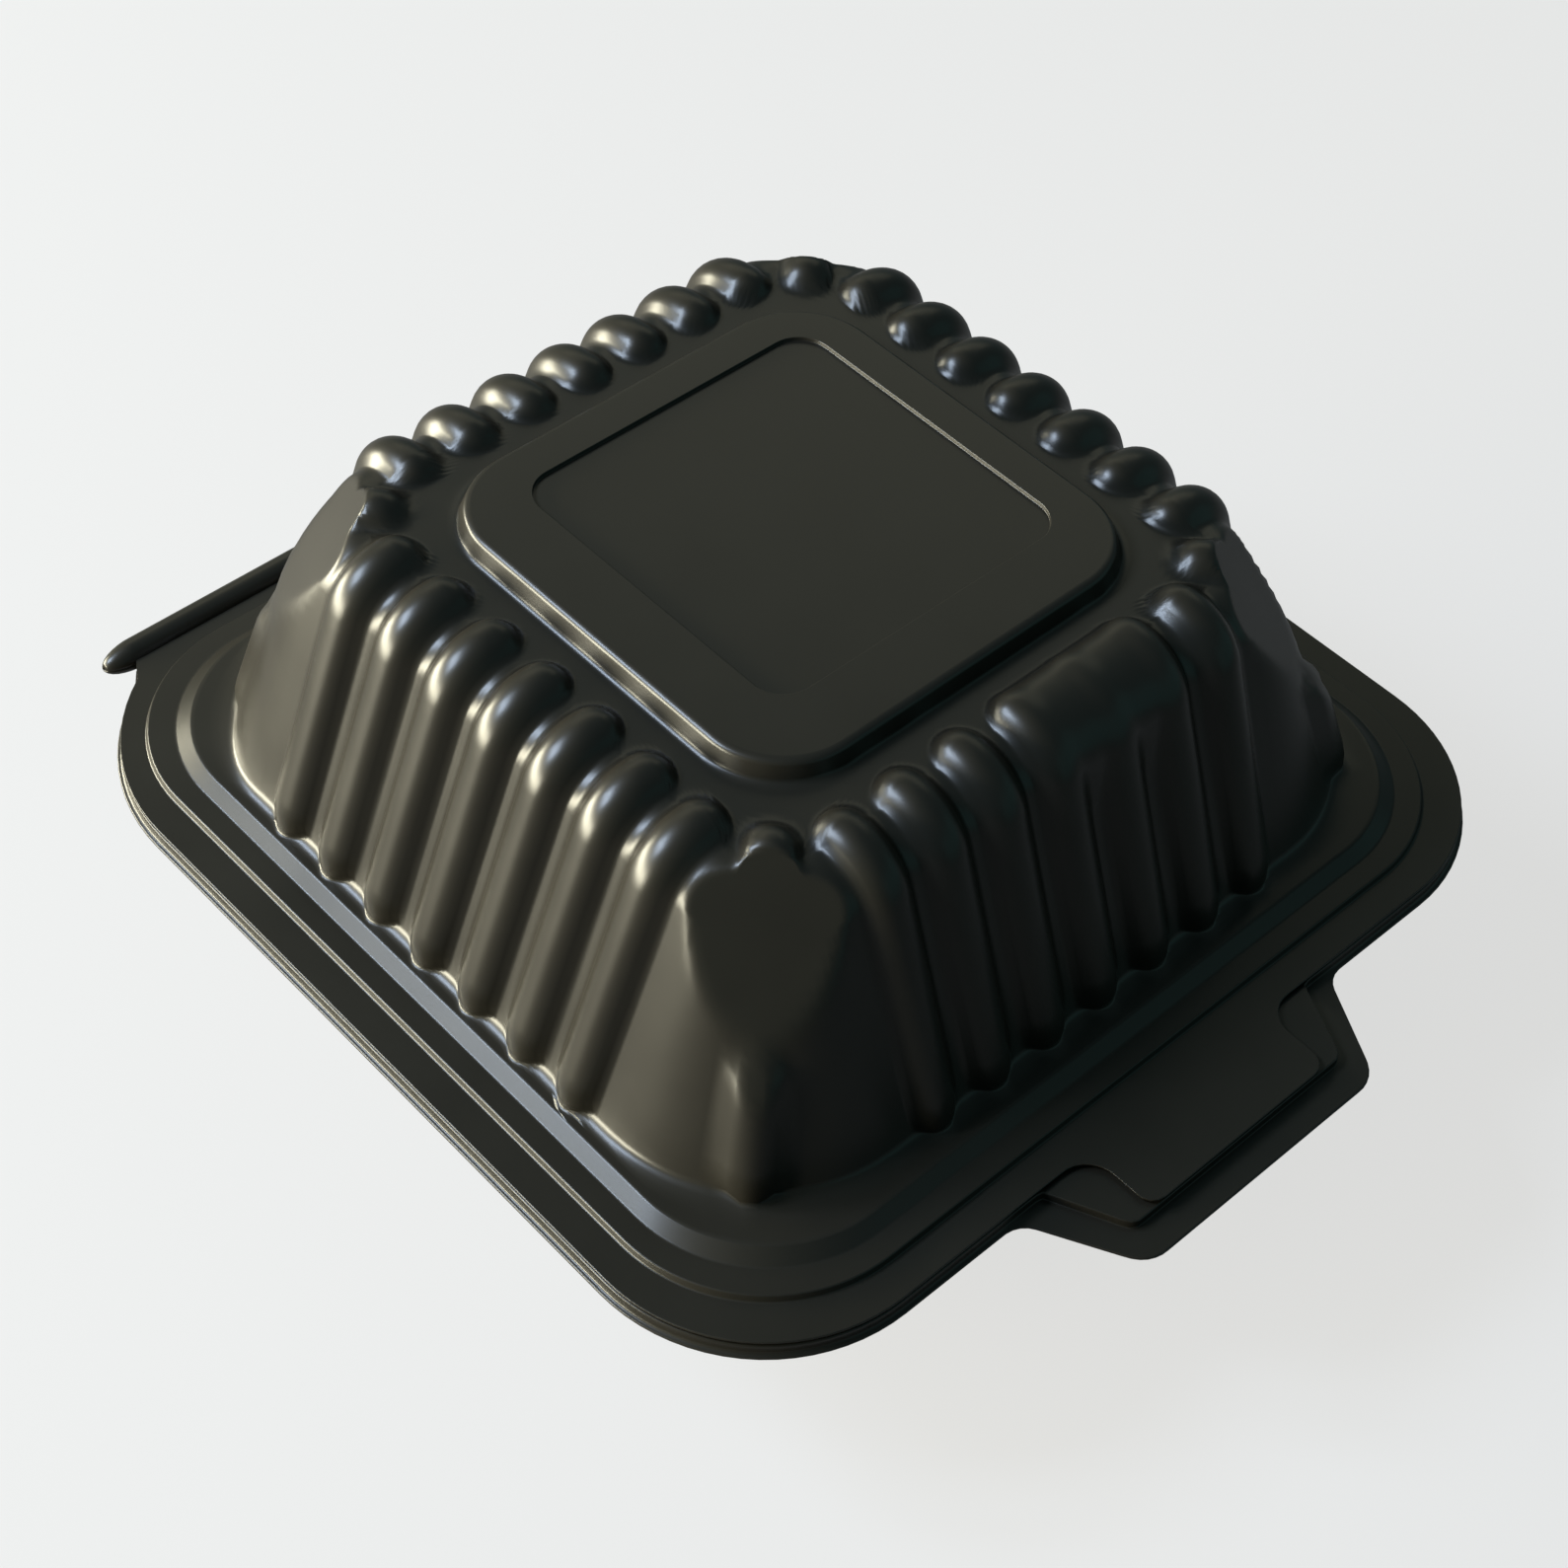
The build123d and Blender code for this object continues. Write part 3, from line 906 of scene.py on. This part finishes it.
# %% Backdrop and room light
world = bpy.data.worlds.new("room")
world.use_nodes = True
tree = world.node_tree
tree.nodes.clear()
room = add_node(tree, "ShaderNodeBackground", Color=linear("#a8dadc"), Strength=0.17).outputs[0]
backdrop = add_node(tree, "ShaderNodeBackground", Color=linear("#efefee"), Strength=0.9).outputs[0]
room_mix = add_node(tree, "ShaderNodeMixShader",
                    [(backdrop_share(tree, glossy_share=0.05), 0), (room, 1), (backdrop, 2)])
add_node(tree, "ShaderNodeOutputWorld", [(room_mix.outputs[0], "Surface")])
bpy.context.scene.world = world
bpy.context.scene.view_settings.view_transform = "Standard"
print(world.name, "has", len(tree.nodes), "nodes")

# %% [markdown]
# Light
#
# On a black surface, one sees little but reflections, so the lamps are placed where their reflections
# should lie. Daylight comes from a window with two panes, to the left and behind, which gives the
# paired spots on the flutes. A warm glow below it lights the left walls. A weak softbox behind lifts
# the flat faces, and a weak cool fill lies in front.


# %% Lamps
def soft_panel(name, direction, distance, width, height, colour, radiance):
    """A rectangular lamp that faces the container. Its power is radiance times pi times its area."""
    lamp = bpy.data.lights.new(name, "AREA")
    lamp.shape = "RECTANGLE"
    lamp.size, lamp.size_y = width, height
    lamp.color = linear(colour)[:3]
    lamp.energy = radiance * np.pi * width * height
    back = unit(np.array(direction))
    side = unit(np.cross((0, 0, 1), back))
    turn = Matrix(np.stack([side, np.cross(back, side), back], axis=1).tolist())
    stand = back * distance + np.array([0, 0, deck_z / 2 * mm])
    panel = bpy.data.objects.new(name, lamp)
    panel.matrix_world = Matrix.LocRotScale(stand, turn, None)
    bpy.context.scene.collection.objects.link(panel)
    print(name, round(lamp.energy, 1), "W")


pane = {"distance": 1.0, "width": 0.17, "height": 0.26, "colour": "#d6e8ff", "radiance": 54.0}
soft_panel("window_pane_left", (-0.62, 0.36, 0.70), **pane)
soft_panel("window_pane_right", (-0.47, 0.54, 0.70), **pane)
soft_panel("warm_glow", (-0.75, 0.65, 0.12), 1.0, 1.3, 0.30, "#f2ecd2", 58.0)
soft_panel("softbox", (0.58, 0.57, 0.58), 1.2, 1.3, 0.50, "#fbf4d4", 0.70)
soft_panel("cool_fill", (0.50, -0.85, 0.30), 1.2, 1.8, 0.70, "#8fd4d0", 0.30)

# %% [markdown]
# Camera
#
# The camera stands where the photograph was taken, which follows from the rows of flutes and the rim.
# It looks at a point on the deck from the given angles and distance, and is rolled a little. The lens
# follows from the focal length in pixels and the width of the picture.

# %% Camera
photo_side = 1589
focal_pixels = 2977.1
sensor_width = 36.0
azimuth, elevation, roll = np.radians((-45.276, 48.425, 3.709))
camera_distance = 358.9
aim_x, aim_y = -30.2, -31.8
nearest = 0.01
aim = np.array([aim_x, aim_y + bowl_shift, deck_z])
back = np.array([np.sin(azimuth) * np.cos(elevation), -np.cos(azimuth) * np.cos(elevation),
                 np.sin(elevation)])
level = unit(np.cross(-back, (0, 0, 1)))
upright = np.cross(level, -back)
right = np.cos(roll) * level + np.sin(roll) * upright
up = np.cos(roll) * upright - np.sin(roll) * level
lens = bpy.data.cameras.new("camera")
lens.sensor_width = sensor_width
lens.lens = focal_pixels / photo_side * sensor_width
lens.clip_start = nearest
camera = bpy.data.objects.new("camera", lens)
turn = Matrix(np.stack([right, up, back], axis=1).tolist())
camera.matrix_world = Matrix.LocRotScale((aim + back * camera_distance) * mm, turn, None)
bpy.context.scene.collection.objects.link(camera)
bpy.context.scene.camera = camera
print("lens", round(lens.lens, 2), "mm")
